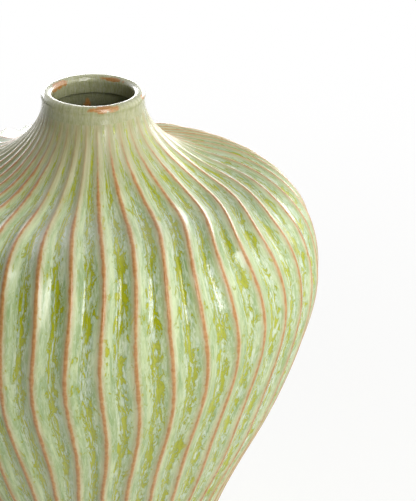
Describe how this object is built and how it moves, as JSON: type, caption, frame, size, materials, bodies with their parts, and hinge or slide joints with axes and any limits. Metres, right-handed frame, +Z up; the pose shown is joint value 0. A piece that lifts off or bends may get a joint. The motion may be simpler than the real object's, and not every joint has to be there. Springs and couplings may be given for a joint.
{
  "type": "meiping vase",
  "caption": "Wide-shouldered stoneware meiping vase with a short collar, a rolled lip, carved flutes and a turned foot, glazed inside and out.",
  "frame": {"origin": "centre of the foot's resting plane, on the vase's axis", "axes": "+Z up along the vase's axis; the front, as pictured, faces -Y; +X to the right"},
  "size_m": [0.2537, 0.2539, 0.33],
  "materials": {
    "mint_glaze": "glossy",
    "liner_glaze": "glossy",
    "bare_stoneware": "matte",
    "slip": "matte"
  },
  "bodies": {
    "root": {"neck_and_mouth": "bare_stoneware", "shoulder": "bare_stoneware", "lower_body": "bare_stoneware", "base_floor": "bare_stoneware", "foot_ring": "bare_stoneware", "floor_coil": "bare_stoneware", "collar_slip": "slip", "girth_slip": "slip", "foot_slip": "slip", "outer_glaze": "mint_glaze", "liner_glaze": "liner_glaze", "recess_glaze": "mint_glaze"}
  },
  "joints": []
}
